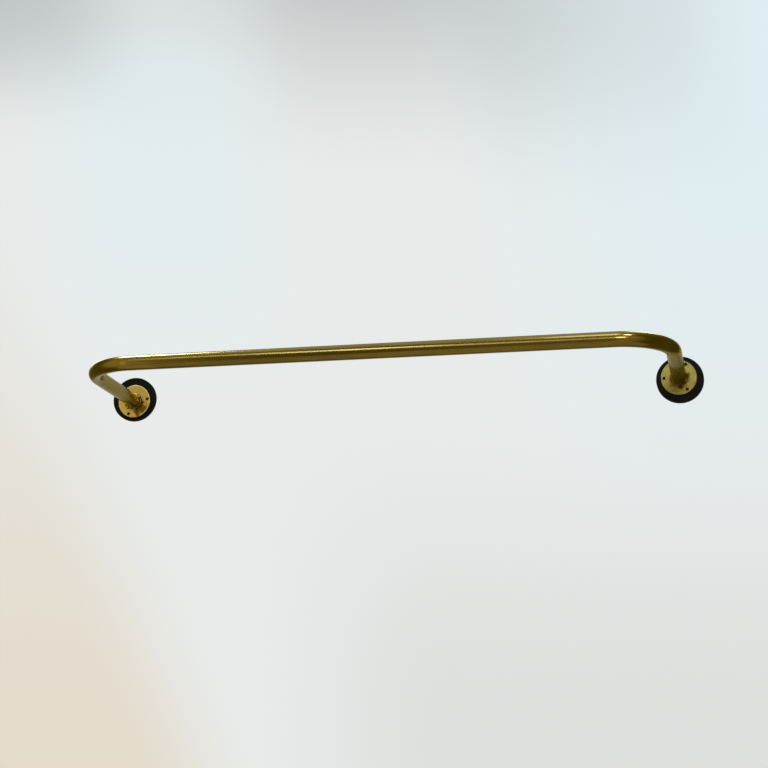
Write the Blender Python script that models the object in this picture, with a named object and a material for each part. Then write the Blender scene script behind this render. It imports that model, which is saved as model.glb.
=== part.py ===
"""Wall-mounted clothes rail.

One brass tube is bent into a wide, flat U.  Each end stands in the bore of a
thin round brass flange and is brazed to it all round, and each flange sits on
a thick black disc that spaces it off the wall.  Screw holes run through each
flange, and narrower pilot holes behind them through the disc.

Frame: the origin is on the wall, midway between the two arms and level with
the tube.  +X runs along the bar, +Y into the wall and +Z up.  Lengths are in
metres.
"""

import math

import bmesh
import bpy
from mathutils import Matrix, Vector

# Tube: outside diameter, wall, and the U that it is bent to
TUBE_DIAMETER = 0.025
TUBE_WALL = 0.0015
ARM_SPACING = 0.975
BAR_REACH = 0.2665
BEND_RADIUS = 0.0875

# Flange: a thin turned plate, bored for the tube
FLANGE_DIAMETER = 0.060
FLANGE_THICKNESS = 0.003
FLANGE_RIM_ROUND = 0.0006

# Screw holes: clear of the screws in the flange, with narrow pilot holes in the disc behind
SCREW_HOLE_COUNT = 3
SCREW_HOLE_DIAMETER = 0.0045
PILOT_HOLE_DIAMETER = 0.0025
SCREW_HOLE_EDGE_DISTANCE = 0.005
LEFT_FIRST_HOLE_ANGLE = math.radians(7)
RIGHT_FIRST_HOLE_ANGLE = math.radians(62)

# Disc: shows as a black ring round the flange, and sits a little off its centre
DISC_REVEAL = 0.010
DISC_THICKNESS = 0.010
DISC_RIM_ROUND = 0.0012
LEFT_DISC_SHIFT = Vector((-0.0014, 0.0047))
RIGHT_DISC_SHIFT = Vector((0.0015, -0.0026))

# Braze: a ring in the corner of tube and flange, laid in overlapping dabs
BEAD_LEG = 0.0028
BEAD_RIPPLE = 0.0004
BEAD_DAB_COUNT = 19
BEAD_SWELL_COUNT = 3

# Gap left between two pieces that touch
SEAT_GAP = 0.0003

# Facets: how finely each round form is stepped
TUBE_SIDES = 32
BEND_STEPS = 12
PLATE_SIDES = 64
RIM_STEPS = 3
BEAD_PROFILE_STEPS = 4
BEAD_STEPS_PER_DAB = 5
HOLE_SIDES = 16
SMOOTH_ANGLE = math.radians(35)

# Places along the axis of an arm, measured out from the wall
FLANGE_BACK = DISC_THICKNESS + SEAT_GAP
FLANGE_FRONT = FLANGE_BACK + FLANGE_THICKNESS
BEAD_BACK = FLANGE_FRONT + SEAT_GAP

# Radii worked out from the sizes above
TUBE_RADIUS = TUBE_DIAMETER / 2
BORE_RADIUS = TUBE_RADIUS + SEAT_GAP
FLANGE_RADIUS = FLANGE_DIAMETER / 2
SCREW_CIRCLE_RADIUS = FLANGE_RADIUS - SCREW_HOLE_EDGE_DISTANCE
DISC_RADIUS = FLANGE_RADIUS + DISC_REVEAL

# Materials: colour, metallic value and roughness of each finish
POLISHED_BRASS = ((0.22, 0.165, 0.025), 1.0, 0.18)
SATIN_BRASS = ((0.52, 0.42, 0.14), 1.0, 0.22)
TARNISHED_BRAZE = ((0.28, 0.19, 0.050), 1.0, 0.35)
BLACK_LACQUER = ((0.005, 0.006, 0.007), 0.0, 0.52)


def clear_scene():
    """Remove every object, so that the rail stands alone."""
    for old_object in list(bpy.data.objects):
        bpy.data.objects.remove(old_object, do_unlink=True)


def make_material(name, finish):
    """A plain Principled material with the finish's colour, metallic value and roughness."""
    colour, metallic, roughness = finish
    material = bpy.data.materials.new(name)
    material.use_nodes = True
    shader = material.node_tree.nodes["Principled BSDF"]
    shader.inputs["Base Color"].default_value = (*colour, 1.0)
    shader.inputs["Metallic"].default_value = metallic
    shader.inputs["Roughness"].default_value = roughness
    return material


def link_object(name, data):
    """Put a new object into the scene: a mesh, or an empty where there is no data."""
    new_object = bpy.data.objects.new(name, data)
    bpy.context.scene.collection.objects.link(new_object)
    return new_object


def add_body(name, shape):
    """Turn a bmesh into a named object whose faces point outwards."""
    bmesh.ops.recalc_face_normals(shape, faces=shape.faces)
    mesh = bpy.data.meshes.new(name)
    shape.to_mesh(mesh)
    shape.free()
    return link_object(name, mesh)


def add_piece(name, shape, finish):
    """A body of the rail with its own material, shaded smooth except at its sharp edges."""
    piece = add_body(name, shape)
    piece.data.shade_smooth()
    piece.data.set_sharp_from_angle(angle=SMOOTH_ANGLE)
    piece.data.materials.append(make_material(name, finish))
    return piece


def add_station(name, x):
    """An empty on the wall at one arm's axis, with its local +Z pointing away from the wall."""
    station = link_object(name, None)
    station.location = (x, 0, 0)
    station.rotation_euler = (math.pi / 2, 0, 0)
    return station


def place_on(station, piece, height, shift=Vector((0, 0))):
    """Stack a piece on a station, at a height above the wall and a shift across it."""
    piece.parent = station
    piece.location = (shift.x, shift.y, height)


def edges_of(geometry):
    """Only the edges out of a mixed list of mesh elements."""
    return [item for item in geometry if isinstance(item, bmesh.types.BMEdge)]


def draw_straight(shape, ring, offset):
    """Draw the tube's outer ring out along a straight run."""
    drawn = bmesh.ops.extrude_edge_only(shape, edges=ring)["geom"]
    corners = [item for item in drawn if isinstance(item, bmesh.types.BMVert)]
    bmesh.ops.translate(shape, verts=corners, vec=offset)
    return edges_of(drawn)


def draw_bend(shape, ring, centre):
    """Sweep the tube's outer ring through a quarter turn about an upright axis."""
    swept = bmesh.ops.spin(
        shape, geom=ring, cent=centre, axis=(0, 0, 1), angle=math.pi / 2, steps=BEND_STEPS)
    return edges_of(swept["geom_last"])


def build_tube():
    """Draw a ring along the left arm, round a bend, along the bar and back, then give it its wall."""
    shape = bmesh.new()
    arm_x = ARM_SPACING / 2
    bend_y = BEND_RADIUS - BAR_REACH
    start = Matrix.Translation((-arm_x, -FLANGE_BACK, 0)) @ Matrix.Rotation(math.pi / 2, 4, "X")
    bmesh.ops.create_circle(shape, segments=TUBE_SIDES, radius=TUBE_RADIUS, matrix=start)
    arm_run = Vector((0, bend_y + FLANGE_BACK, 0))
    bar_run = Vector((ARM_SPACING - 2 * BEND_RADIUS, 0, 0))
    ring = draw_straight(shape, shape.edges[:], arm_run)
    ring = draw_bend(shape, ring, (BEND_RADIUS - arm_x, bend_y, 0))
    ring = draw_straight(shape, ring, bar_run)
    ring = draw_bend(shape, ring, (arm_x - BEND_RADIUS, bend_y, 0))
    draw_straight(shape, ring, -arm_run)
    tube = add_piece("rail_tube", shape, POLISHED_BRASS)
    wall = tube.modifiers.new("tube_wall", "SOLIDIFY")
    wall.thickness = TUBE_WALL
    wall.offset = -1


def build_plate(name, radius, thickness, rim_round, finish):
    """A round plate standing on its station, with both its rims rounded over."""
    shape = bmesh.new()
    bmesh.ops.create_circle(shape, cap_ends=True, segments=PLATE_SIDES, radius=radius)
    raised = bmesh.ops.extrude_face_region(shape, geom=shape.faces[:])["geom"]
    front = [item for item in raised if isinstance(item, bmesh.types.BMVert)]
    bmesh.ops.translate(shape, verts=front, vec=(0, 0, thickness))
    rims = []
    for edge in shape.edges:
        rise = abs(edge.verts[0].co.z - edge.verts[1].co.z)
        if rise < thickness / 2:
            rims.append(edge)
    bmesh.ops.bevel(
        shape, geom=rims, offset=rim_round, segments=RIM_STEPS, profile=0.5, affect="EDGES")
    return add_piece(name, shape, finish)


def build_bead(name):
    """A quarter-round ring, turned on a lathe, then swelled and rippled like dabs of braze."""
    shape = bmesh.new()
    outline = [Vector((BORE_RADIUS, 0, 0))]
    for step in range(BEAD_PROFILE_STEPS + 1):
        lift = math.pi / 2 * step / BEAD_PROFILE_STEPS
        outline.append(Vector((BORE_RADIUS + BEAD_LEG * math.cos(lift), 0, BEAD_LEG * math.sin(lift))))
    corners = [shape.verts.new(point) for point in outline]
    edges = []
    for index, corner in enumerate(corners):
        edges.append(shape.edges.new((corners[index - 1], corner)))
    bmesh.ops.spin(
        shape, geom=corners + edges, cent=(0, 0, 0), axis=(0, 0, 1), angle=2 * math.pi,
        steps=BEAD_DAB_COUNT * BEAD_STEPS_PER_DAB, use_merge=True)
    for corner in shape.verts:
        around = math.atan2(corner.co.y, corner.co.x)
        dabs = abs(math.sin(BEAD_DAB_COUNT * around / 2))
        swell = math.sin(BEAD_SWELL_COUNT * around)
        growth = 1 + BEAD_RIPPLE / BEAD_LEG * (2 * dabs - 1 + swell) / 2
        root = Vector((math.cos(around), math.sin(around), 0)) * BORE_RADIUS
        corner.co = root + (corner.co - root) * growth
    return add_piece(name, shape, TARNISHED_BRAZE)


def cut_hole(station, name, radius, sides, across, piece):
    """Cut one round hole right through a piece, with a hidden cutter."""
    shape = bmesh.new()
    bmesh.ops.create_cone(
        shape, cap_ends=True, segments=sides, radius1=radius, radius2=radius,
        depth=FLANGE_FRONT + 2 * SEAT_GAP)
    cutter = add_body(name, shape)
    cutter.hide_render = True
    cutter.display_type = "WIRE"
    place_on(station, cutter, FLANGE_FRONT / 2, across)
    cut = piece.modifiers.new(name, "BOOLEAN")
    cut.operation = "DIFFERENCE"
    cut.solver = "EXACT"
    cut.object = cutter


def build_wall_end(side, x, disc_shift, first_hole_angle):
    """Stack disc, flange and bead at one end of the tube, bore the flange and drill the screw holes."""
    station = add_station(f"{side}_station", x)
    disc = build_plate(f"{side}_wall_disc", DISC_RADIUS, DISC_THICKNESS, DISC_RIM_ROUND, BLACK_LACQUER)
    flange = build_plate(f"{side}_flange", FLANGE_RADIUS, FLANGE_THICKNESS, FLANGE_RIM_ROUND, SATIN_BRASS)
    bead = build_bead(f"{side}_braze_bead")
    place_on(station, disc, 0, disc_shift)
    place_on(station, flange, FLANGE_BACK)
    place_on(station, bead, BEAD_BACK)
    cut_hole(station, f"{side}_tube_bore", BORE_RADIUS, PLATE_SIDES, Vector((0, 0)), flange)
    for hole in range(SCREW_HOLE_COUNT):
        angle = first_hole_angle + 2 * math.pi * hole / SCREW_HOLE_COUNT
        across = SCREW_CIRCLE_RADIUS * Vector((math.cos(angle), math.sin(angle)))
        number = hole + 1
        cut_hole(station, f"{side}_screw_hole_{number}", SCREW_HOLE_DIAMETER / 2, HOLE_SIDES, across, flange)
        cut_hole(station, f"{side}_pilot_hole_{number}", PILOT_HOLE_DIAMETER / 2, HOLE_SIDES, across, disc)


clear_scene()
build_tube()
build_wall_end("left", -ARM_SPACING / 2, LEFT_DISC_SHIFT, LEFT_FIRST_HOLE_ANGLE)
build_wall_end("right", ARM_SPACING / 2, RIGHT_DISC_SHIFT, RIGHT_FIRST_HOLE_ANGLE)
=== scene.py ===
import math

import bmesh
import bpy
from mathutils import Matrix, Vector, noise


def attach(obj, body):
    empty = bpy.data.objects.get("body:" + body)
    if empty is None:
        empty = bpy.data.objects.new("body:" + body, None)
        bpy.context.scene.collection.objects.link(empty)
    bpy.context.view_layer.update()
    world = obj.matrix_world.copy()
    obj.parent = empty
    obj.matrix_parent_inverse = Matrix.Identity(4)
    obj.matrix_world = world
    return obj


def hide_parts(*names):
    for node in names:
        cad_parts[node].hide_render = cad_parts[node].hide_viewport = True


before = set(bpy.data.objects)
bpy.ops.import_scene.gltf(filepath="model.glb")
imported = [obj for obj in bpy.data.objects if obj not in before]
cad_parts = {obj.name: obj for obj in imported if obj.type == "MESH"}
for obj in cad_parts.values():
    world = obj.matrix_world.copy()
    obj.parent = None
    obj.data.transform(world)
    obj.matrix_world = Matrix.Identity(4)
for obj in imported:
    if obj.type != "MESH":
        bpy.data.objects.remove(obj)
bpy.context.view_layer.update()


# Wall discs.
# Thick round discs, turned from wood and lacquered satin black, that space the flanges off
# the wall. The wall screws clamp them, and each sits a little off the centre of its flange.

SIDES = ("left", "right")
ARM_X = {"left": -0.4875, "right": 0.4875}
ALONG_ARM = (math.pi / 2, 0, 0)
DISC_RADIUS = 0.040
DISC_THICKNESS = 0.010
DISC_RIM_ROUND = 0.0012
DISC_SIDES = 160
DISC_SHIFT = {"left": (-0.0014, 0.0047), "right": (0.0015, -0.0026)}
RIM_SEGMENTS = 5
ROUND_PROFILE = 0.5
SCREW_HOLE_COUNT = 3
SCREW_CIRCLE_RADIUS = 0.025
FIRST_HOLE_ANGLE = {"left": math.radians(7), "right": math.radians(62)}
PILOT_HOLE_RADIUS = 0.00125
PILOT_HOLE_SIDES = 32
DRILL_LENGTH = 0.06
SMOOTH_ANGLE = math.radians(32)
SQUARE_TO_ARM = 0.9999


def take_up(piece):
    """Select one piece alone and make it the active one."""
    bpy.ops.object.select_all(action="DESELECT")
    piece.select_set(True)
    bpy.context.view_layer.objects.active = piece


def new_blank(name):
    """Name the primitive that was just added, and put its place and turn into its mesh."""
    blank = bpy.context.object
    blank.name = name
    blank.data.name = name
    bpy.ops.object.transform_apply(location=True, rotation=True, scale=True)
    return blank


def select_edges(piece, wanted):
    """In edit mode, select the edges whose middle passes a test on its place."""
    bpy.ops.mesh.select_mode(type="EDGE")
    bpy.ops.mesh.select_all(action="DESELECT")
    shape = bmesh.from_edit_mesh(piece.data)
    for edge in shape.edges:
        middle = (edge.verts[0].co + edge.verts[1].co) / 2
        if wanted(middle):
            edge.select_set(True)
    bmesh.update_edit_mesh(piece.data)


def turn_blank(name, radius, thickness, back, rim_round, sides):
    """Turn a round plate on the arm's axis, with both its rims rounded over."""
    middle = -back - thickness / 2
    bpy.ops.object.select_all(action="DESELECT")
    bpy.ops.mesh.primitive_cylinder_add(
        vertices=sides, radius=radius, depth=thickness, location=(0, middle, 0), rotation=ALONG_ARM)
    blank = new_blank(name)
    bpy.ops.object.mode_set(mode="EDIT")
    select_edges(blank, lambda place: abs(place.y - middle) > thickness / 4)
    bpy.ops.mesh.bevel(offset=rim_round, segments=RIM_SEGMENTS, profile=ROUND_PROFILE, affect="EDGES")
    bpy.ops.object.mode_set(mode="OBJECT")
    return blank


def drill(piece, radius, sides, place):
    """Drill a round hole along the arm's axis, with a cutter that is then thrown away."""
    bpy.ops.object.select_all(action="DESELECT")
    bpy.ops.mesh.primitive_cylinder_add(
        vertices=sides, radius=radius, depth=DRILL_LENGTH, location=place, rotation=ALONG_ARM)
    cutter = bpy.context.object
    hole = piece.modifiers.new("hole", "BOOLEAN")
    hole.operation = "DIFFERENCE"
    hole.solver = "EXACT"
    hole.object = cutter
    take_up(piece)
    bpy.ops.object.modifier_apply(modifier=hole.name)
    bpy.data.objects.remove(cutter, do_unlink=True)


def screw_places(x, first_angle):
    """Centres of the screw holes, on their circle round the arm's axis."""
    places = []
    for hole in range(SCREW_HOLE_COUNT):
        angle = first_angle + hole * math.tau / SCREW_HOLE_COUNT
        across = SCREW_CIRCLE_RADIUS * math.cos(angle)
        places.append(Vector((x + across, 0, SCREW_CIRCLE_RADIUS * math.sin(angle))))
    return places


def set_copy(pattern, name, place, turn=0.0):
    """Copy a pattern piece with its own mesh, turn it about the arm's axis and set it in place."""
    piece = pattern.copy()
    piece.data = pattern.data.copy()
    piece.name = name
    piece.data.name = name
    bpy.context.scene.collection.objects.link(piece)
    piece.rotation_euler = (0, -turn, 0)
    piece.location = place
    take_up(piece)
    bpy.ops.object.transform_apply(location=True, rotation=True, scale=True)
    return piece


def smooth(piece):
    """Shade a piece smooth, except across its sharp edges and on faces square to the arm."""
    take_up(piece)
    bpy.ops.object.shade_smooth_by_angle(angle=SMOOTH_ANGLE)
    for face in piece.data.polygons:
        if abs(face.normal.y) > SQUARE_TO_ARM:
            face.use_smooth = False


def feed(tree, node, inputs):
    """Link or set a node's inputs."""
    for name, value in inputs.items():
        if isinstance(value, bpy.types.NodeSocket):
            tree.links.new(value, node.inputs[name])
        else:
            node.inputs[name].default_value = value


def add(tree, kind, inputs=None, **settings):
    """Add a shader node: settings are its own options, inputs are links or values for its sockets."""
    node = tree.nodes.new("ShaderNode" + kind)
    for name, value in settings.items():
        setattr(node, name, value)
    feed(tree, node, inputs or {})
    return node


def calc(tree, operation, *values):
    """A Math node's result."""
    return add(tree, "Math", dict(enumerate(values)), operation=operation).outputs[0]


def in_turn(tree, operation, values):
    """Take values into one Math operation, one after the other."""
    result = values[0]
    for value in values[1:]:
        result = calc(tree, operation, result, value)
    return result


def times(tree, *values):
    """Values multiplied: masks that hold together, or a mask and its share."""
    return in_turn(tree, "MULTIPLY", values)


def plus(tree, *values):
    """Values added up."""
    return in_turn(tree, "ADD", values)


def away(tree, value, centre):
    """How far a value lies from a centre, either way."""
    return calc(tree, "ABSOLUTE", calc(tree, "SUBTRACT", value, centre))


def fade(tree, value, start, end, low=0.0, high=1.0):
    """Ease a value from low to high as it passes from start to end."""
    inputs = {"Value": value, "From Min": start, "From Max": end, "To Min": low, "To Max": high}
    return add(tree, "MapRange", inputs, interpolation_type="SMOOTHSTEP").outputs["Result"]


def tint(tree, mask, first, second):
    """Mix from the first colour to the second by a mask."""
    return add(tree, "Mix", {0: mask, 6: first, 7: second}, data_type="RGBA").outputs[2]


def split(tree, place):
    """The X, Y and Z of a place."""
    return add(tree, "SeparateXYZ", {0: place}).outputs


def join(tree, **parts):
    """A place made of its X, Y and Z."""
    return add(tree, "CombineXYZ", parts).outputs[0]


def vector(tree, operation, *values):
    """A Vector Math node's vector."""
    return add(tree, "VectorMath", dict(enumerate(values)), operation=operation).outputs["Vector"]


def length(tree, place):
    """Distance of a place from the origin."""
    return add(tree, "VectorMath", {0: place}, operation="LENGTH").outputs["Value"]


def relief(tree, height, strength, depth, invert=False):
    """Fine relief from a height, as a normal."""
    inputs = {"Height": height, "Strength": strength, "Distance": depth}
    return add(tree, "Bump", inputs, invert=invert).outputs["Normal"]


def new_group(name, inputs, output):
    """Start a node group with named inputs and one output; returns the group, its inputs and its end."""
    group = bpy.data.node_groups.new(name, "ShaderNodeTree")
    for socket, kind in inputs.items():
        group.interface.new_socket(name=socket, in_out="INPUT", socket_type="NodeSocket" + kind)
    group.interface.new_socket(name=output, in_out="OUTPUT", socket_type="NodeSocketFloat")
    start = group.nodes.new("NodeGroupInput")
    end = group.nodes.new("NodeGroupOutput")
    return group, start.outputs, end.inputs[output]


def use(tree, group, **inputs):
    """Place a node group in a material; returns its one output."""
    return add(tree, "Group", inputs, node_tree=group).outputs[0]


def new_material(name):
    """An empty node material; returns it, its tree, its Principled shader and Object coordinates."""
    material = bpy.data.materials.new(name)
    material.use_nodes = True
    tree = material.node_tree
    shader = tree.nodes["Principled BSDF"]
    place = tree.nodes.new("ShaderNodeTexCoord").outputs["Object"]
    return material, tree, shader, place


def plug(tree, shader, **inputs):
    """Link or set the Principled shader's sockets, named with _ for a space."""
    feed(tree, shader, {name.replace("_", " "): value for name, value in inputs.items()})


def centred(tree, place, centre):
    """Coordinates moved so that a pattern is centred on a place."""
    move = tuple(-value for value in centre)
    return add(tree, "Mapping", {"Vector": place, "Location": move}).outputs["Vector"]


def off_axis(tree, place):
    """Distance of a centred point from the arm's axis."""
    return length(tree, vector(tree, "MULTIPLY", place, (1, 0, 1)))


# Soft clouds of tone: 0 where the finish is plain, 1 where it has changed.
tone_clouds, given, result = new_group(
    "tone_clouds", {"Vector": "Vector", "Scale": "Float", "Start": "Float", "End": "Float"}, "Mask")
clouds = add(tone_clouds, "TexNoise", {
    "Vector": given["Vector"], "Scale": given["Scale"], "Detail": 4.0, "Roughness": 0.6}).outputs["Fac"]
tone_clouds.links.new(fade(tone_clouds, clouds, given["Start"], given["End"]), result)

# Tool lines of a lathe: fine rings about the arm's axis, a little uneven round the turn.
RING_DRIFT = 0.012
turned_lines, given, result = new_group("turned_lines", {"Vector": "Vector", "Lines": "Float"}, "Height")
axes = split(turned_lines, given["Vector"])
across = join(turned_lines, X=axes["X"], Z=axes["Z"])
run = join(turned_lines, X=length(turned_lines, across), Y=axes["Y"])
drift = vector(turned_lines, "MULTIPLY", across, (RING_DRIFT, RING_DRIFT, RING_DRIFT))
rings = add(turned_lines, "TexNoise", {
    "Vector": vector(turned_lines, "ADD", run, drift), "Scale": given["Lines"],
    "Detail": 3.0, "Roughness": 0.65}).outputs["Fac"]
turned_lines.links.new(rings, result)

# Small scattered specks: 1 inside a speck, at random sizes, most of them very small.
SPECK_RARITY = 4.0
SPECK_CORE = 0.5
fine_specks, given, result = new_group(
    "fine_specks", {"Vector": "Vector", "Scale": "Float", "Size": "Float"}, "Mask")
cells = add(fine_specks, "TexVoronoi", {
    "Vector": given["Vector"], "Scale": given["Scale"], "Randomness": 1.0}).outputs
chance = calc(fine_specks, "POWER", split(fine_specks, cells["Color"])["X"], SPECK_RARITY)
reach = times(fine_specks, chance, given["Size"])
core = times(fine_specks, reach, SPECK_CORE)
fine_specks.links.new(fade(fine_specks, cells["Distance"], reach, core), result)

# Black lacquer: deep black with a soft sheen, faint lathe rings, handling marks, dust, and
# greyed rims where the lacquer has worn.
LACQUER_BLACK = (0.0024, 0.0037, 0.0052, 1)
LACQUER_DULL = (0.0052, 0.0066, 0.0086, 1)
LACQUER_WORN = (0.022, 0.024, 0.026, 1)
LACQUER_GLOSS = (0.48, 0.60)
LACQUER_RING_DULLING = 0.08
WEAR_START = 0.0013
WEAR_FULL = 0.0004
DUST_GREY = (0.14, 0.135, 0.125, 1)
DUST_SHARE = 0.5


def black_lacquer(name, centre):
    """The lacquer of one disc, with its rings about the disc's centre."""
    material, tree, shader, place = new_material(name)
    place = centred(tree, place, centre)
    dull = use(tree, tone_clouds, Vector=place, Scale=70.0, Start=0.38, End=0.72)
    scuffs = use(tree, tone_clouds, Vector=place, Scale=420.0, Start=0.46, End=0.66)
    lines = use(tree, turned_lines, Vector=place, Lines=1500.0)
    dust = use(tree, fine_specks, Vector=place, Scale=420.0, Size=0.3)
    half = DISC_THICKNESS / 2
    from_middle = away(tree, split(tree, place)["Y"], -half)
    to_edge = fade(tree, off_axis(tree, place), DISC_RADIUS - WEAR_START, DISC_RADIUS - WEAR_FULL)
    to_face = fade(tree, from_middle, half - WEAR_START, half - WEAR_FULL)
    colour = tint(tree, dull, LACQUER_BLACK, LACQUER_DULL)
    colour = tint(tree, times(tree, to_edge, to_face, scuffs), colour, LACQUER_WORN)
    colour = tint(tree, times(tree, dust, DUST_SHARE), colour, DUST_GREY)
    gloss = plus(tree, fade(tree, dull, 0, 1, *LACQUER_GLOSS), times(tree, lines, LACQUER_RING_DULLING))
    rings = relief(tree, lines, strength=0.5, depth=0.00004)
    plug(tree, shader, Base_Color=colour, Roughness=gloss, Normal=rings, Specular_IOR_Level=0.10)
    return material


disc_pattern = turn_blank("disc_pattern", DISC_RADIUS, DISC_THICKNESS, 0, DISC_RIM_ROUND, DISC_SIDES)
for side in SIDES:
    shift_x, shift_z = DISC_SHIFT[side]
    disc_centre = (ARM_X[side] + shift_x, 0, shift_z)
    disc = set_copy(disc_pattern, side + "_black_disc", disc_centre)
    for place in screw_places(ARM_X[side], FIRST_HOLE_ANGLE[side]):
        drill(disc, PILOT_HOLE_RADIUS, PILOT_HOLE_SIDES, place)
    smooth(disc)
    disc.data.materials.append(black_lacquer(side + "_black_lacquer", disc_centre))
    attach(disc, "root")
    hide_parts(side + "_wall_disc")
bpy.data.objects.remove(disc_pattern, do_unlink=True)


# Flanges.
# Thin turned plates of satin brass, bored for the tube, with three screw holes each.
# They are brazed to the tube's ends and screwed to the wall through the black discs.

FLANGE_RADIUS = 0.030
FLANGE_THICKNESS = 0.003
FLANGE_BACK = 0.0103
FLANGE_FRONT = FLANGE_BACK + FLANGE_THICKNESS
FLANGE_RIM_ROUND = 0.0010
FLANGE_SIDES = 192
BORE_RADIUS = 0.0128
BORE_SIDES = 96
SCREW_HOLE_RADIUS = 0.00225
SCREW_HOLE_SIDES = 40
HOLE_CHAMFER = 0.00025
CHAMFER_SEGMENTS = 2
NEAR_FACE = 0.0001
NEAR_HOLE = 0.00001
JOINT_RADIUS = 0.0125

# Heat of the torch: 1 at the ring where tube and flange meet, fading with a ragged edge.
LICK_LEVEL = 0.45
braze_heat, given, result = new_group(
    "braze_heat", {"Vector": "Vector", "Reach": "Float", "Ragged": "Float"}, "Mask")
axes = split(braze_heat, given["Vector"])
from_arm = calc(braze_heat, "SUBTRACT", calc(braze_heat, "ABSOLUTE", axes["X"]), ARM_X["right"])
from_axis = length(braze_heat, join(braze_heat, X=from_arm, Z=axes["Z"]))
out_of_ring = calc(braze_heat, "SUBTRACT", from_axis, JOINT_RADIUS)
out_of_wall = plus(braze_heat, axes["Y"], FLANGE_FRONT)
gap = length(braze_heat, join(braze_heat, X=out_of_ring, Y=out_of_wall))
licks = add(braze_heat, "TexNoise", {
    "Vector": given["Vector"], "Scale": 260.0, "Detail": 4.0}).outputs["Fac"]
licks = calc(braze_heat, "SUBTRACT", licks, LICK_LEVEL)
licks = calc(braze_heat, "MULTIPLY_ADD", licks, given["Ragged"], 1.0)
braze_heat.links.new(fade(braze_heat, times(braze_heat, gap, licks), given["Reach"], 0.0), result)

# One spot, for stains and for painted shade, reflection and glint: 1 at its middle, fading at a ragged
# edge.
FRAY_LEVEL = 0.5
SPOT_EDGE = (1.1, 0.45)
SPOT_DEPTH = 0.01
colour_spot, given, result = new_group(
    "colour_spot", {"Vector": "Vector", "Centre": "Vector", "Size": "Vector", "Ragged": "Float"}, "Mask")
off = vector(colour_spot, "SUBTRACT", given["Vector"], given["Centre"])
off = length(colour_spot, vector(colour_spot, "DIVIDE", off, given["Size"]))
fray = add(colour_spot, "TexNoise", {
    "Vector": given["Vector"], "Scale": 700.0, "Detail": 3.0}).outputs["Fac"]
fray = times(colour_spot, calc(colour_spot, "SUBTRACT", fray, FRAY_LEVEL), given["Ragged"])
colour_spot.links.new(fade(colour_spot, plus(colour_spot, off, fray), *SPOT_EDGE), result)


def spotted(tree, colour, on_axis, spots, spot_colour, share, ragged):
    """Lay spots over a colour, stains as well as painted shade, reflection and glint: each spot gives its
    centre off the arm's axis, and its size.
    """
    for (x, z), (width, height) in spots:
        spot = use(tree, colour_spot, Vector=on_axis, Centre=(x, 0, z),
                   Size=(width, SPOT_DEPTH, height), Ragged=ragged)
        colour = tint(tree, times(tree, spot, share), colour, spot_colour)
    return colour


# Satin brass: fine lathe rings, clouds of duller tone, a few tarnish specks, a rim painted
# paler as a highlight, a brown bloom round the braze, dark patches beside it that on the left
# flange are a painted reflection and shade of the tube, darker flux stains, and painted shade
# in the screw holes. The right flange is duller than the left one, and darker, partly as
# painted shade.
# The right flange's brass colours are darker than the left's, partly as painted shade.
FLANGE_BRASS = {"left": (0.62, 0.515, 0.28, 1), "right": (0.25, 0.228, 0.062, 1)}
FLANGE_TONED = {"left": (0.55, 0.445, 0.21, 1), "right": (0.205, 0.18, 0.046, 1)}
FLANGE_RIM_HIGHLIGHT = {"left": (0.80, 0.70, 0.43, 1), "right": (0.72, 0.69, 0.42, 1)}
FLANGE_GLOSS = {"left": (0.11, 0.15), "right": (0.36, 0.44)}
FLANGE_RING_DULLING = 0.04
TONED_SHARE = 0.8
RIM_HIGHLIGHT_START = 0.0022
RIM_HIGHLIGHT_FULL = 0.0009
RIM_HIGHLIGHT_SHARE = 0.7
RIM_HIGHLIGHT_DULLING = 0.42
HEAT_BROWN = (0.16, 0.085, 0.012, 1)
BLOOM_REACH = 0.0095
BLOOM_Z = (0.010, -0.008)
BLOOM_TONE = (0.25, 1.0)
BLOOM_SHARE = 0.85
BLOOM_DULLING = 0.10
TARNISH_SHARE = 0.6
FLUX_BLACK = (0.030, 0.016, 0.006, 1)
FLUX_SHARE = 0.85
# Painted shade in the screw holes: black inside them, where shade falls.
HOLE_SHADE_BLACK = (0.012, 0.009, 0.006, 1)
HOLE_SHADE_SIZE = (0.0035, 0.0035)
# Dark patches below the braze. On the left flange they are a painted reflection and shade of the tube.
SCORCH_AND_REFLECTION_PATCHES = {
    "left": (((0.0042, -0.0190), (0.0058, 0.0050)), ((0.0076, -0.0238), (0.0056, 0.0058))),
    "right": (((-0.0130, -0.0148), (0.0045, 0.0030)), ((0.0050, -0.0165), (0.0050, 0.0026))),
}
SCORCH_AND_REFLECTION_BROWN = {"left": (0.075, 0.044, 0.004, 1), "right": HEAT_BROWN}
SCORCH_AND_REFLECTION_SHARE = {"left": 0.85, "right": 0.6}
FLUX_STAINS = {
    "left": (((0.0160, -0.0035), (0.0020, 0.0026)), ((-0.0108, -0.0126), (0.0034, 0.0022)),
             ((-0.0152, -0.0076), (0.0020, 0.0028))),
    "right": (((0.0165, 0.0030), (0.0022, 0.0070)), ((0.0022, -0.0182), (0.0046, 0.0034))),
}


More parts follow.
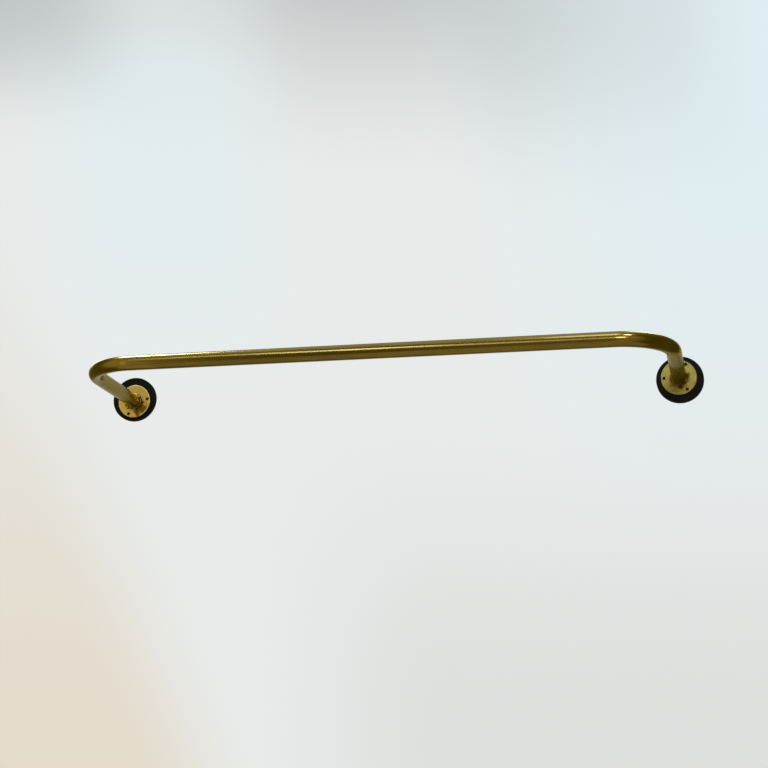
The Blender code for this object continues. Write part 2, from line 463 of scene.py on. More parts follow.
def satin_brass(side):
    """The brass of one flange, with its stains placed off the arm's axis."""
    material, tree, shader, place = new_material(side + "_satin_brass")
    on_axis = centred(tree, place, (ARM_X[side], -FLANGE_FRONT, 0))
    toned = use(tree, tone_clouds, Vector=on_axis, Scale=120.0, Start=0.40, End=0.70)
    cloudy = use(tree, tone_clouds, Vector=on_axis, Scale=38.0, Start=0.35, End=0.75)
    lines = use(tree, turned_lines, Vector=on_axis, Lines=2600.0)
    specks = use(tree, fine_specks, Vector=on_axis, Scale=300.0, Size=0.36)
    low_down = fade(tree, split(tree, on_axis)["Z"], *BLOOM_Z, *BLOOM_TONE)
    heat = times(tree, use(tree, braze_heat, Vector=place, Reach=BLOOM_REACH, Ragged=2.0), low_down)
    from_centre = off_axis(tree, on_axis)
    # Painted highlight: the rim is painted paler where its rounding catches the light.
    rim_highlight = fade(tree, from_centre, FLANGE_RADIUS - RIM_HIGHLIGHT_START, FLANGE_RADIUS - RIM_HIGHLIGHT_FULL)
    holes = [((hole.x, hole.z), HOLE_SHADE_SIZE) for hole in screw_places(0, FIRST_HOLE_ANGLE[side])]
    colour = tint(tree, times(tree, toned, TONED_SHARE), FLANGE_BRASS[side], FLANGE_TONED[side])
    colour = tint(tree, times(tree, rim_highlight, RIM_HIGHLIGHT_SHARE), colour, FLANGE_RIM_HIGHLIGHT[side])
    colour = tint(tree, times(tree, heat, BLOOM_SHARE), colour, HEAT_BROWN)
    # Dark patches below the braze: on the left flange a painted reflection and shade of the tube.
    colour = spotted(tree, colour, on_axis, SCORCH_AND_REFLECTION_PATCHES[side], SCORCH_AND_REFLECTION_BROWN[side],
                     SCORCH_AND_REFLECTION_SHARE[side], ragged=0.3)
    colour = spotted(tree, colour, on_axis, FLUX_STAINS[side], FLUX_BLACK, FLUX_SHARE, ragged=1.6)
    colour = tint(tree, times(tree, specks, TARNISH_SHARE), colour, HEAT_BROWN)
    # Painted shade: each screw hole is painted black, where shade falls inside it.
    colour = spotted(tree, colour, on_axis, holes, HOLE_SHADE_BLACK, share=1.0, ragged=0.2)
    gloss = plus(tree, fade(tree, cloudy, 0, 1, *FLANGE_GLOSS[side]), times(tree, heat, BLOOM_DULLING),
                 times(tree, lines, FLANGE_RING_DULLING), times(tree, rim_highlight, RIM_HIGHLIGHT_DULLING))
    rings = relief(tree, lines, strength=0.1, depth=0.000004)
    plug(tree, shader, Base_Color=colour, Roughness=gloss, Metallic=1.0, Normal=rings)
    return material


flange_pattern = turn_blank(
    "flange_pattern", FLANGE_RADIUS, FLANGE_THICKNESS, FLANGE_BACK, FLANGE_RIM_ROUND, FLANGE_SIDES)
drill(flange_pattern, BORE_RADIUS, BORE_SIDES, (0, 0, 0))
pattern_holes = screw_places(0, 0.0)
for place in pattern_holes:
    drill(flange_pattern, SCREW_HOLE_RADIUS, SCREW_HOLE_SIDES, place)


def on_hole_edge(place):
    """True on the front edge of a screw hole."""
    if place.y > -FLANGE_FRONT + NEAR_FACE:
        return False
    off_holes = [(place - hole - Vector((0, place.y, 0))).length for hole in pattern_holes]
    return min(off_holes) < SCREW_HOLE_RADIUS + NEAR_HOLE


bpy.ops.object.mode_set(mode="EDIT")
select_edges(flange_pattern, on_hole_edge)
bpy.ops.mesh.bevel(offset=HOLE_CHAMFER, segments=CHAMFER_SEGMENTS, profile=ROUND_PROFILE, affect="EDGES")
bpy.ops.object.mode_set(mode="OBJECT")
for side in SIDES:
    flange = set_copy(flange_pattern, side + "_brass_flange", (ARM_X[side], 0, 0), FIRST_HOLE_ANGLE[side])
    smooth(flange)
    flange.data.materials.append(satin_brass(side))
    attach(flange, "root")
    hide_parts(side + "_flange")
bpy.data.objects.remove(flange_pattern, do_unlink=True)


# Rail tube.
# One length of round brass tube, bent twice to a wide flat U, polished along its length and
# lacquered. Its two ends stand in the bores of the flanges.

TUBE_RADIUS = 0.0125
TUBE_WALL = 0.0015
TUBE_SIDES = 96
BAR_Y = -0.2665
BEND_RADIUS = 0.0875
BEND_STEPS = 48
BEND_X = ARM_X["right"] - BEND_RADIUS
BEND_Y = BAR_Y + BEND_RADIUS
ARM_LENGTH = -BEND_Y - FLANGE_BACK
BEND_LENGTH = BEND_RADIUS * math.pi / 2
MERGE_DISTANCE = 0.00001


def draw_out(run):
    """Draw the selected ring of the tube out along a straight run."""
    bpy.ops.mesh.extrude_region_move(TRANSFORM_OT_translate={"value": run})


def draw_round(x):
    """Draw the selected ring of the tube round a quarter bend."""
    bpy.ops.mesh.spin(steps=BEND_STEPS, angle=-math.pi / 2, center=(x, BEND_Y, 0), axis=(0, 0, 1))


def close_up():
    """In edit mode, merge doubled points and turn the faces outwards, then leave edit mode."""
    bpy.ops.mesh.select_all(action="SELECT")
    bpy.ops.mesh.remove_doubles(threshold=MERGE_DISTANCE)
    bpy.ops.mesh.normals_make_consistent(inside=False)
    bpy.ops.object.mode_set(mode="OBJECT")


def straightened(place):
    """Where a point of the tube's skin would lie if the tube were straight along X from its middle."""
    side = math.copysign(1, place.x)
    x = abs(place.x)
    if x <= BEND_X:
        along = x
        out = BAR_Y - place.y
    elif place.y < BEND_Y:
        turn = math.atan2(x - BEND_X, BEND_Y - place.y)
        along = BEND_X + BEND_RADIUS * turn
        out = math.hypot(x - BEND_X, BEND_Y - place.y) - BEND_RADIUS
    else:
        along = BEND_X + BEND_LENGTH + place.y - BEND_Y
        out = x - ARM_X["right"]
    return side * along, out, place.z


bpy.ops.object.select_all(action="DESELECT")
bpy.ops.mesh.primitive_circle_add(
    vertices=TUBE_SIDES, radius=TUBE_RADIUS, location=(ARM_X["left"], -FLANGE_BACK, 0), rotation=ALONG_ARM)
tube = new_blank("polished_rail_tube")
bpy.ops.object.mode_set(mode="EDIT")
bpy.ops.mesh.select_mode(type="EDGE")
bpy.ops.mesh.select_all(action="SELECT")
draw_out((0, -ARM_LENGTH, 0))
draw_round(-BEND_X)
draw_out((2 * BEND_X, 0, 0))
draw_round(BEND_X)
draw_out((0, ARM_LENGTH, 0))
close_up()
wall = tube.modifiers.new("wall", "SOLIDIFY")
wall.thickness = TUBE_WALL
wall.offset = -1
bpy.ops.object.modifier_apply(modifier=wall.name)
smooth(tube)
skin = tube.data.attributes.new("straightened", "FLOAT_VECTOR", "POINT")
for corner in tube.data.vertices:
    skin.data[corner.index].vector = straightened(corner.co)

# Lacquered brass: olive gold, polished in fine lines along the tube, with clouds of deeper
# tone and tarnish specks. The right arm is painted darker all over as shade, and darker still
# along its outer side. Towards the flanges the lacquer is burnt off, the brass bare and dull,
# and scorched brown next to the braze.
TUBE_BRASS = (0.225, 0.170, 0.023, 1)
TUBE_DEEP = (0.180, 0.130, 0.015, 1)
TUBE_BROWN = (0.120, 0.082, 0.011, 1)
TUBE_TARNISH_AND_SHADE = (0.045, 0.033, 0.008, 1)
TUBE_BARE = (0.40, 0.32, 0.08, 1)
TUBE_GLOSS = (0.15, 0.20)
TUBE_SHEEN = (0.96, 0.85, 0.45, 1)
HALVES_X = (-0.1, 0.1)
CLOUD_STRETCH = (0.3, 1, 1)
LINE_STRETCH = (0.005, 1, 1)
LINE_DULLING = 0.04
MOTTLE_SHARE = 0.25
MOTTLE_DULLING = 0.03
SPECK_SHARE = 0.7
RIGHT_ARM_X = (0.43, 0.47)
RIGHT_ARM_Y = (-0.245, -0.205)
RIGHT_ARM_SHADE_SHARE = 0.5
RIGHT_OUTSIDE_X = (0.489, 0.4965)
RIGHT_OUTSIDE_SHADE_SHARE = 0.4
BARE_REACH = 0.13
BARE_SHARE = {"left": 0.9, "right": 0.7}
BARE_DULLING = {"left": 0.10, "right": 0.24}
BURN_REACH = {"left": 0.025, "right": 0.060}
BURN_SHARE = {"left": 0.8, "right": 0.4}
BURN_DULLING = 0.4
LACQUER_WEIGHT = (0.6, 0.0)
LACQUER_BURNT_OFF = (0.1, 0.8)
RIGHT_ARM_LACQUER = (1.0, 0.4)

material, tree, shader, place = new_material("lacquered_tube_brass")
axes = split(tree, place)
rightward = fade(tree, axes["X"], *HALVES_X)


def most(tree, *values):
    """The greatest of the values: masks of which any may hold."""
    return in_turn(tree, "MAXIMUM", values)


def by_side(left, right):
    """A value for the tube's left half and one for its right half."""
    return fade(tree, rightward, 0, 1, left, right)


on_tube = add(tree, "Attribute", attribute_name="straightened").outputs["Vector"]
drawn_clouds = vector(tree, "MULTIPLY", on_tube, CLOUD_STRETCH)
drawn_lines = vector(tree, "MULTIPLY", on_tube, LINE_STRETCH)
deep = use(tree, tone_clouds, Vector=drawn_clouds, Scale=60.0, Start=0.38, End=0.70)
mottle = use(tree, tone_clouds, Vector=on_tube, Scale=330.0, Start=0.35, End=0.75)
lines = add(tree, "TexNoise", {"Vector": drawn_lines, "Scale": 1500.0, "Detail": 1.0}).outputs["Fac"]
specks = use(tree, fine_specks, Vector=on_tube, Scale=170.0, Size=0.26)
# Painted shade: the right arm darker all over, and its outer side darker still.
right_arm = times(tree, fade(tree, axes["X"], *RIGHT_ARM_X), fade(tree, axes["Y"], *RIGHT_ARM_Y))
right_outside_shade = times(tree, right_arm, fade(tree, axes["X"], *RIGHT_OUTSIDE_X))
burnt = use(tree, braze_heat, Vector=place, Reach=by_side(**BURN_REACH), Ragged=0.8)
bared = use(tree, braze_heat, Vector=place, Reach=BARE_REACH, Ragged=0.5)
browned_and_shaded = most(tree, times(tree, mottle, MOTTLE_SHARE), times(tree, right_arm, RIGHT_ARM_SHADE_SHARE))
colour = tint(tree, most(tree, deep, right_arm), TUBE_BRASS, TUBE_DEEP)
colour = tint(tree, browned_and_shaded, colour, TUBE_BROWN)
colour = tint(tree, times(tree, bared, by_side(**BARE_SHARE)), colour, TUBE_BARE)
colour = tint(tree, times(tree, burnt, by_side(**BURN_SHARE)), colour, TUBE_BROWN)
colour = tint(tree, times(tree, right_outside_shade, RIGHT_OUTSIDE_SHADE_SHARE), colour, TUBE_TARNISH_AND_SHADE)
colour = tint(tree, times(tree, specks, SPECK_SHARE), colour, TUBE_TARNISH_AND_SHADE)
dulling = most(tree, times(tree, bared, by_side(**BARE_DULLING)), times(tree, burnt, BURN_DULLING))
gloss = plus(tree, fade(tree, deep, 0, 1, *TUBE_GLOSS), times(tree, lines, LINE_DULLING),
             times(tree, mottle, MOTTLE_DULLING), dulling)
lacquer = fade(tree, bared, *LACQUER_BURNT_OFF, *LACQUER_WEIGHT)
lacquer = times(tree, lacquer, fade(tree, right_arm, 0, 1, *RIGHT_ARM_LACQUER))
brushed = relief(tree, lines, strength=0.1, depth=0.000001)
plug(tree, shader, Base_Color=colour, Roughness=gloss, Metallic=1.0, Normal=brushed,
     Specular_Tint=TUBE_SHEEN, Coat_Weight=lacquer, Coat_Roughness=0.08, Coat_IOR=1.9)
tube.data.materials.append(material)
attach(tube, "root")
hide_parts("rail_tube")


# Braze beads.
# Runs of brass filler in the corner of tube and flange, laid by hand in overlapping dabs.
# They were left as they cooled: smoothest on top, lumpy below, dark with flux in the hollows.

BEAD_ROOT_RADIUS = 0.0123
BEAD_ROOT_BACK = 0.0131
BEAD_LEG = 0.0032
BEAD_STEPS = 190
BEAD_PROFILE_SIDES = 48
BEAD_SEED = {"left": 11, "right": 23}
SWELL_SCALE = 1.7
DAB_SCALE = 5.0
GRAIN_SCALE = 1300
LUMPY_TOP = 0.3
LUMPY_FOOT = 1.0
BEAD_FULLNESS = 0.84
SWELL_GROWTH = 0.16
DAB_GROWTH = 0.20
GRAIN_GROWTH = 0.05
CREST_LEVEL = 0.9
LUMPY_CREST = 0.4
SWELL_CREST = 0.3
DAB_CREST = 0.9
GRAIN_CREST = 0.4


def lay_bead(side):
    """Spin a quarter-round ring about the arm, then swell it in uneven dabs."""
    bpy.ops.object.select_all(action="DESELECT")
    root = Vector((ARM_X[side] + BEAD_ROOT_RADIUS, -BEAD_ROOT_BACK, 0))
    bpy.ops.mesh.primitive_circle_add(
        vertices=BEAD_PROFILE_SIDES, radius=BEAD_LEG, fill_type="NGON", location=root)
    bead = new_blank(side + "_braze_run")
    bpy.ops.object.mode_set(mode="EDIT")
    for kept_side in ((1, 0, 0), (0, -1, 0)):
        bpy.ops.mesh.select_all(action="SELECT")
        bpy.ops.mesh.bisect(plane_co=root, plane_no=kept_side, use_fill=False, clear_inner=True)
    bpy.ops.mesh.select_all(action="SELECT")
    bpy.ops.mesh.delete(type="ONLY_FACE")
    bpy.ops.mesh.select_all(action="SELECT")
    bpy.ops.mesh.spin(steps=BEAD_STEPS, angle=math.tau, center=(ARM_X[side], 0, 0), axis=(0, 1, 0))
    close_up()
    crest = bead.data.attributes.new("crest", "FLOAT", "POINT")
    seed = Vector((0, BEAD_SEED[side], 0))
    for corner in bead.data.vertices:
        around = math.atan2(corner.co.z, corner.co.x - ARM_X[side])
        out = Vector((math.cos(around), 0, math.sin(around)))
        base = Vector((ARM_X[side], -BEAD_ROOT_BACK, 0)) + BEAD_ROOT_RADIUS * out
        swell = noise.noise(out * SWELL_SCALE + seed)
        dab = noise.noise(out * DAB_SCALE + seed)
        grain = noise.noise(corner.co * GRAIN_SCALE + seed)
        lumpy = (LUMPY_FOOT + LUMPY_TOP) / 2 - (LUMPY_FOOT - LUMPY_TOP) / 2 * math.sin(around)
        growth = BEAD_FULLNESS + SWELL_GROWTH * swell + lumpy * (DAB_GROWTH * dab + GRAIN_GROWTH * grain)
        corner.co = base + (corner.co - base) * growth
        # The crest sits higher on top than below, so the braze is also painted lighter on top as a
        # highlight.
        height = CREST_LEVEL - LUMPY_CREST * lumpy + SWELL_CREST * swell
        height += lumpy * (DAB_CREST * dab + GRAIN_CREST * grain)
        crest.data[corner.index].value = min(1, max(0, height))
    smooth(bead)
    return bead


# Braze: yellow on the crests, brown in the hollows, with a brown skin of flux in clouds, pits
# and spots of black flux. The crests lie mostly on top, so the top is also painted lighter as a
# highlight, and one painted glint sits as a bright spot on top of the left bead.
BRAZE_BRIGHT = {"left": (0.55, 0.45, 0.18, 1), "right": (0.42, 0.35, 0.15, 1)}
BRAZE_DULL = {"left": (0.15, 0.11, 0.025, 1), "right": (0.14, 0.10, 0.025, 1)}
BRAZE_CREST = (0.65, 1.0)
BRAZE_GLOSS_CREST = (0.3, 0.9)
BRAZE_GLOSS = (0.45, 0.14)
BRAZE_PAINTED_GLINT = (0.95, 0.88, 0.62, 1)
GLINT_SPOTS = {"left": (((0.0030, 0.0135), (0.0052, 0.0036)),), "right": ()}
FLUX_BROWN = (0.045, 0.022, 0.008, 1)
FLUX_SKIN_SHARE = 0.5
FLUX_SKIN_DULLING = 0.15
PIT_SHARE = 0.5
FLUX_SPOT_SHARE = 0.9
FLUX_SPOTS = {
    "left": (((0.0120, 0.0052), (0.0022, 0.0026)), ((0.0134, -0.0042), (0.0020, 0.0024)),
             ((-0.0112, -0.0120), (0.0030, 0.0022)), ((-0.0035, -0.0155), (0.0022, 0.0018))),
    "right": (((0.0142, 0.0022), (0.0024, 0.0062)), ((0.0090, -0.0110), (0.0028, 0.0026)),
              ((-0.0138, 0.0036), (0.0016, 0.0018))),
}


def raw_braze(side):
    """The braze of one bead, with its spots placed off the arm's axis."""
    material, tree, shader, place = new_material(side + "_raw_braze")
    on_axis = centred(tree, place, (ARM_X[side], -FLANGE_FRONT, 0))
    crest = add(tree, "Attribute", attribute_name="crest").outputs["Fac"]
    flux_skin = use(tree, tone_clouds, Vector=place, Scale=380.0, Start=0.45, End=0.66)
    pits = use(tree, fine_specks, Vector=place, Scale=900.0, Size=0.5)
    colour = tint(tree, fade(tree, crest, *BRAZE_CREST), BRAZE_DULL[side], BRAZE_BRIGHT[side])
    colour = tint(tree, times(tree, flux_skin, FLUX_SKIN_SHARE), colour, FLUX_BROWN)
    colour = spotted(tree, colour, on_axis, FLUX_SPOTS[side], FLUX_BLACK, FLUX_SPOT_SHARE, ragged=0.8)
    colour = tint(tree, times(tree, pits, PIT_SHARE), colour, FLUX_BLACK)
    # Painted highlight: one bright glint on top of the left bead.
    colour = spotted(tree, colour, on_axis, GLINT_SPOTS[side], BRAZE_PAINTED_GLINT, share=1.0, ragged=0.3)
    gloss = fade(tree, crest, *BRAZE_GLOSS_CREST, *BRAZE_GLOSS)
    gloss = plus(tree, gloss, times(tree, flux_skin, FLUX_SKIN_DULLING))
    pitted = relief(tree, pits, strength=0.5, depth=0.0001, invert=True)
    plug(tree, shader, Base_Color=colour, Roughness=gloss, Metallic=0.9, Normal=pitted)
    return material


for side in SIDES:
    bead = lay_bead(side)
    bead.data.materials.append(raw_braze(side))
    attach(bead, "root")
    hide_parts(side + "_braze_bead")


# Floor.
# A plain pale studio floor, matt and far below the rail. The brass mirrors it darker and
# warmer, with two lit parts. To the camera it thins out towards its rim and is open from below.

FLOOR_Z = -1.6
FLOOR_Y = -0.7
FLOOR_RADIUS = 1.5
FLOOR_SIDES = 96
FLOOR_RIM = (0.6, 0.97)
FLOOR_PALE = (0.45, 0.43, 0.38, 1)
FLOOR_MARKED = (0.42, 0.40, 0.355, 1)
FLOOR_SEEN = (0.43, 0.465, 0.54, 1)
FLOOR_MIRRORED = (0.08, 0.052, 0.0, 1)
FLOOR_LIT = (0.34, 0.24, 0.0, 1)
LIT_LEFT_X = (-0.80, -1.05)
LIT_MIDDLE_X = (-0.70, -0.35)
LIT_MIDDLE_SHARE = 0.4
NO_LIGHT = (0, 0, 0, 1)

floor_centre = (0, FLOOR_Y, FLOOR_Z)
bpy.ops.object.select_all(action="DESELECT")
bpy.ops.mesh.primitive_circle_add(
    vertices=FLOOR_SIDES, radius=FLOOR_RADIUS, fill_type="NGON", location=floor_centre)
floor = new_blank("studio_floor")
material, tree, shader, place = new_material("pale_floor")
ray = add(tree, "LightPath").outputs
marks = use(tree, tone_clouds, Vector=place, Scale=0.8, Start=0.3, End=0.7)
floor_x = split(tree, place)["X"]
lit_middle = fade(tree, floor_x, *LIT_MIDDLE_X, 0, LIT_MIDDLE_SHARE)
lit = most(tree, fade(tree, floor_x, *LIT_LEFT_X), lit_middle)
mirrored = tint(tree, lit, FLOOR_MIRRORED, FLOOR_LIT)
lift = tint(tree, ray["Is Glossy Ray"], NO_LIGHT, mirrored)
lift = tint(tree, ray["Is Camera Ray"], lift, FLOOR_SEEN)
from_centre = length(tree, centred(tree, place, floor_centre))
open_rim = fade(tree, from_centre, *(FLOOR_RADIUS * share for share in FLOOR_RIM))
open_rim = most(tree, open_rim, add(tree, "NewGeometry").outputs["Backfacing"])
solid = calc(tree, "SUBTRACT", 1.0, times(tree, open_rim, ray["Is Camera Ray"]))
plug(tree, shader, Base_Color=tint(tree, marks, FLOOR_PALE, FLOOR_MARKED), Roughness=0.8,
     Emission_Color=lift, Emission_Strength=1.0, Alpha=solid)
floor.data.materials.append(material)


# Lamps.
# Nine soft panels round the rail, out of the camera's sight. Those in front draw the highlights
# along the bar, those above light its top, and those behind its bends.

LAMP_WHITE = (0.98, 0.98, 1.0)
BAR_MIDDLE = (0, BAR_Y, 0)


def hang_lamp(name, place, aim, size, power, colour=LAMP_WHITE, tilt=0.0):
    """A soft rectangular lamp, turned to face a point of the rail and unseen by the camera."""
    lamp = bpy.data.lights.new(name, "AREA")
    lamp.shape = "RECTANGLE"
    lamp.size, lamp.size_y = size
    lamp.energy = power
    lamp.color = colour
    holder = bpy.data.objects.new(name, lamp)
    holder.location = place
    facing = (Vector(aim) - Vector(place)).to_track_quat("-Z", "Y").to_matrix()
    holder.rotation_euler = (facing @ Matrix.Rotation(math.radians(tilt), 3, "Z")).to_euler()
    holder.visible_camera = False
    bpy.context.scene.collection.objects.link(holder)


hang_lamp("front_strip", place=(-0.58, -2.94, 1.02), aim=BAR_MIDDLE, size=(2.1, 0.56), power=5.7,
          tilt=-46)
hang_lamp("front_lamp", place=(-0.68, -2.90, 1.08), aim=BAR_MIDDLE, size=(0.55, 0.45), power=3.4,
          colour=(1.0, 0.98, 0.94), tilt=-40)
hang_lamp("right_front_panel", place=(0.605, -1.615, 0.25), aim=(0.3, BAR_Y, 0), size=(0.45, 0.25),
          power=2.6)
hang_lamp("right_high_lamp", place=(1.16, -1.78, 2.0), aim=(0.4, BAR_Y, 0), size=(0.45, 0.35), power=9.0,
          colour=(1.0, 0.99, 0.95))
hang_lamp("right_overhead", place=(0.30, -1.60, 2.2), aim=(0.3, BAR_Y, 0), size=(0.55, 1.1), power=4.6,
          colour=(1.0, 0.99, 0.96))
hang_lamp("left_overhead", place=(-1.38, 0.14, 2.34), aim=(-0.35, BAR_Y, 0), size=(0.80, 0.48), power=26.5,
          colour=(0.76, 0.83, 1.0))
hang_lamp("left_back_panel", place=(-1.57, 1.45, 1.12), aim=(-0.47, -0.2, 0), size=(0.85, 0.75), power=3.2)
hang_lamp("right_back_lamp", place=(0.66, 1.35, 1.9), aim=(0.45, BAR_Y, 0), size=(0.26, 1.2), power=6.0,
          colour=(0.9, 0.94, 1.0))
hang_lamp("left_front_panel", place=(-1.85, -2.95, -0.5), aim=(-0.4, BAR_Y, 0), size=(0.8, 3.0), power=2.7,
          colour=(1.0, 0.80, 0.40))


# Studio room.
# A pale backdrop that the camera sees behind the rail. The brass mirrors a dim warm room in
# front, brighter on both sides, a ceiling above and a pale wall behind, shaded at its foot.

world = bpy.data.worlds.new("studio_room")
bpy.context.scene.world = world
world.use_nodes = True
tree = world.node_tree
tree.nodes.clear()

# X, Y and Z of the direction looked in, each from -1 to 1. Ranges named for one of them say
# where a tone starts and where it is full.
axes = split(tree, add(tree, "TexCoord").outputs["Generated"])
x = axes["X"]
y = axes["Y"]
z = axes["Z"]
forward = times(tree, y, -1.0)

# The room in front of the rail: a glow at the left, a dim band across the right, and one
# narrow bright streak high on the left.
ROOM_DIM = (0.165, 0.125, 0.016, 1)
ROOM_FRONT = (0.66, 0.49, 0.13, 1)
ROOM_BRIGHT = (2.6, 2.3, 1.4, 1)
CEILING = (0.74, 0.71, 0.46, 1)
LEFT_FORWARD = (0.0, 0.5)
LEFT_ROOM_X = (-0.32, -0.47)
LEFT_GLOW_X = (-0.315, -0.355)
LEFT_GLOW_MIDDLE_Z = 0.40
LEFT_GLOW_REACH = (0.30, 0.08)
RIGHT_FORWARD = (0.45, 0.85)
RIGHT_ROOM_X = (-0.28, 0.15)
DIM_BAND_MIDDLE_Z = -0.22
DIM_BAND_REACH = (0, 0.30)
DIM_BAND_SHARE = (0.45, 0.9)
STREAK_FORWARD = (0.4, 0.6)
STREAK_MIDDLE_X = -0.342
STREAK_MIDDLE_Z = 0.52
STREAK_WIDTH = (0.018, 0.008)
STREAK_HEIGHT = (0.14, 0.05)
CEILING_Z = (0.66, 0.95)
CEILING_X = (0.35, -0.1)
CEILING_SHARE = (0.3, 1.0)

on_left = fade(tree, forward, *LEFT_FORWARD)
left_room = times(tree, fade(tree, x, *LEFT_ROOM_X), on_left)
glow_height = fade(tree, away(tree, z, LEFT_GLOW_MIDDLE_Z), *LEFT_GLOW_REACH)
left_glow = times(tree, fade(tree, x, *LEFT_GLOW_X), glow_height, on_left)
dim_band = fade(tree, away(tree, z, DIM_BAND_MIDDLE_Z), *DIM_BAND_REACH, *DIM_BAND_SHARE)
right_room = times(tree, fade(tree, x, *RIGHT_ROOM_X), dim_band, fade(tree, forward, *RIGHT_FORWARD))
streak = times(tree, fade(tree, away(tree, x, STREAK_MIDDLE_X), *STREAK_WIDTH),
               fade(tree, away(tree, z, STREAK_MIDDLE_Z), *STREAK_HEIGHT),
               fade(tree, forward, *STREAK_FORWARD))
overhead = times(tree, fade(tree, z, *CEILING_Z), fade(tree, x, *CEILING_X, *CEILING_SHARE))
room = tint(tree, most(tree, left_room, left_glow, right_room), ROOM_DIM, ROOM_FRONT)
room = tint(tree, streak, room, ROOM_BRIGHT)
room = tint(tree, overhead, room, CEILING)

# The wall behind, as the arms and the bends mirror it: warmer at the right, with a shaded
# patch and a shaded far left, duller above and dark at its foot. Its edge leans with height.
WALL_LOW = (0.47, 0.46, 0.40, 1)
WALL_RIGHT = (0.60, 0.53, 0.34, 1)
WALL_SHADED = (0.28, 0.27, 0.23, 1)
WALL_HIGH = (0.40, 0.40, 0.34, 1)
WALL_FOOT = (0.22, 0.20, 0.16, 1)
WALL_Y = (0.66, 0.80)
WALL_RIGHT_X = (0.26, 0.38)
WALL_HIGH_Z = (0.15, 0.50)
WALL_FOOT_Z = (-0.40, -0.60)
PATCH_MIDDLE_X = 0.22
PATCH_MIDDLE_Z = -0.03
PATCH_WIDTH = (0.10, 0.03)
PATCH_HEIGHT = (0.20, 0.10)
SHADED_LEFT_X = (-0.38, -0.50)
SHADED_LEFT_SHARE = 0.5
LEAN_Z = (0.05, 0.25)
LEAN_LOW = -0.16
LEAN_HIGH = 0.25

patch = times(tree, fade(tree, away(tree, x, PATCH_MIDDLE_X), *PATCH_WIDTH),
              fade(tree, away(tree, z, PATCH_MIDDLE_Z), *PATCH_HEIGHT))
shaded = most(tree, patch, fade(tree, x, *SHADED_LEFT_X, 0, SHADED_LEFT_SHARE))
wall_tone = tint(tree, fade(tree, x, *WALL_RIGHT_X), WALL_LOW, WALL_RIGHT)
wall_tone = tint(tree, shaded, wall_tone, WALL_SHADED)
wall_tone = tint(tree, fade(tree, z, *WALL_HIGH_Z), wall_tone, WALL_HIGH)
wall_tone = tint(tree, fade(tree, z, *WALL_FOOT_Z), wall_tone, WALL_FOOT)
lean = fade(tree, z, *LEAN_Z, LEAN_LOW, LEAN_HIGH)
wall_edge = most(tree, times(tree, x, lean), times(tree, x, LEAN_HIGH))
behind = fade(tree, calc(tree, "SUBTRACT", y, wall_edge), *WALL_Y)
room = tint(tree, behind, room, wall_tone)

# The backdrop: shaded unevenly along the top, duller below, warm at the lower left, and cool
# on both sides above the rail. Away from the wall it has one even tone.
BACKDROP = (0.81, 0.83, 0.82, 1)
BACKDROP_HIGH = (0.51, 0.54, 0.54, 1)
BACKDROP_LOW = (0.735, 0.745, 0.735, 1)
BACKDROP_WARM = (0.772, 0.705, 0.60, 1)
BACKDROP_COOL = (0.74, 0.85, 0.89, 1)
HIGH_Z = (0.36, 0.50)
HIGH_SHARE = (0.55, 1.0)
HIGH_MIDDLE_X = -0.17
HIGH_MIDDLE_WIDTH = (0.16, 0.04)
HIGH_OUTER_WIDTH = (0.20, 0.25)
LOW_Z = (0.24, 0.06)
LOW_X = (-0.30, -0.18)
WARM_LEAN = 0.4
WARM_EDGE = (-0.273, -0.348)
WARM_Z = (0.45, 0.0)
COOL_LEFT_MIDDLE_X = -0.33
COOL_LEFT_WIDTH = (0.09, 0.02)
COOL_LEFT_SHARE = 0.6
COOL_LEFT_Z = (0.22, 0.34)
COOL_LEFT_TOP_Z = (0.41, 0.45)
COOL_LEFT_TOP_SHARE = (1.0, 0.3)
COOL_RIGHT_X = (-0.2, 0.0)
COOL_RIGHT_Z = (0.10, 0.40)
CORNER_X = (-0.32, -0.39)
CORNER_Z = (0.38, 0.455)
CORNER_SHARE = 0.8
CLOUD_MIDDLE_X = -0.08
CLOUD_WIDTH = (0.10, 0.04)
CLOUD_Z = (0.34, 0.45)
CLOUD_SHARE = 0.3
BACKDROP_Y = (0.62, 0.74)
BACKDROP_Z = (-0.10, 0.0)

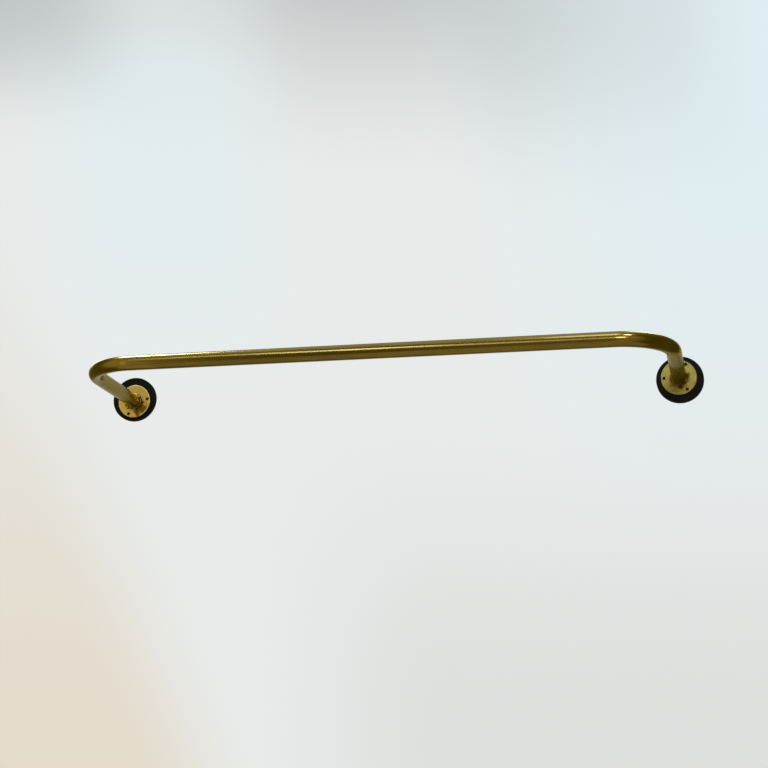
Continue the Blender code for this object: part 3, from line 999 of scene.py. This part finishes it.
from_middle = away(tree, x, HIGH_MIDDLE_X)
uneven = most(tree, fade(tree, from_middle, *HIGH_MIDDLE_WIDTH), fade(tree, from_middle, *HIGH_OUTER_WIDTH))
high = times(tree, fade(tree, z, *HIGH_Z), fade(tree, uneven, 0, 1, *HIGH_SHARE))
low = times(tree, fade(tree, z, *LOW_Z), fade(tree, x, *LOW_X))
leaning_x = calc(tree, "MULTIPLY_ADD", z, WARM_LEAN, x)
warm = times(tree, fade(tree, leaning_x, *WARM_EDGE), fade(tree, z, *WARM_Z))
cool_left = times(tree, fade(tree, away(tree, x, COOL_LEFT_MIDDLE_X), *COOL_LEFT_WIDTH, 0, COOL_LEFT_SHARE),
                  fade(tree, z, *COOL_LEFT_Z), fade(tree, z, *COOL_LEFT_TOP_Z, *COOL_LEFT_TOP_SHARE))
cool_right = times(tree, fade(tree, x, *COOL_RIGHT_X), fade(tree, z, *COOL_RIGHT_Z))
corner = times(tree, fade(tree, x, *CORNER_X, 0, CORNER_SHARE), fade(tree, z, *CORNER_Z))
cloud = times(tree, fade(tree, away(tree, x, CLOUD_MIDDLE_X), *CLOUD_WIDTH, 0, CLOUD_SHARE),
              fade(tree, z, *CLOUD_Z))
toward_wall = times(tree, fade(tree, y, *BACKDROP_Y), fade(tree, z, *BACKDROP_Z))
backdrop = tint(tree, high, BACKDROP, BACKDROP_HIGH)
backdrop = tint(tree, low, backdrop, BACKDROP_LOW)
backdrop = tint(tree, warm, backdrop, BACKDROP_WARM)
backdrop = tint(tree, most(tree, cool_left, cool_right), backdrop, BACKDROP_COOL)
backdrop = tint(tree, most(tree, corner, cloud), backdrop, BACKDROP_HIGH)
backdrop = tint(tree, toward_wall, BACKDROP_LOW, backdrop)

seen = add(tree, "LightPath").outputs["Is Camera Ray"]
glow = add(tree, "Background", {"Color": tint(tree, seen, room, backdrop), "Strength": 1.0})
end = tree.nodes.new("ShaderNodeOutputWorld")
tree.links.new(glow.outputs["Background"], end.inputs["Surface"])


# Camera.
# It looks up at the rail from below and to the right, through a long lens.

CAMERA_PLACE = (0.59735, -2.79008, -0.71998)
CAMERA_TURN = math.radians(12.60)
CAMERA_TILT = math.radians(104.4134)
CAMERA_ROLL = math.radians(0.63)
CAMERA_LENS = 78.36

camera = bpy.data.objects.new("camera", bpy.data.cameras.new("camera"))
camera.data.lens = CAMERA_LENS
camera.matrix_world = (
    Matrix.Translation(CAMERA_PLACE) @ Matrix.Rotation(CAMERA_TURN, 4, "Z")
    @ Matrix.Rotation(CAMERA_TILT, 4, "X") @ Matrix.Rotation(CAMERA_ROLL, 4, "Z"))
bpy.context.scene.collection.objects.link(camera)
bpy.context.scene.camera = camera
bpy.context.scene.view_settings.view_transform = "Standard"
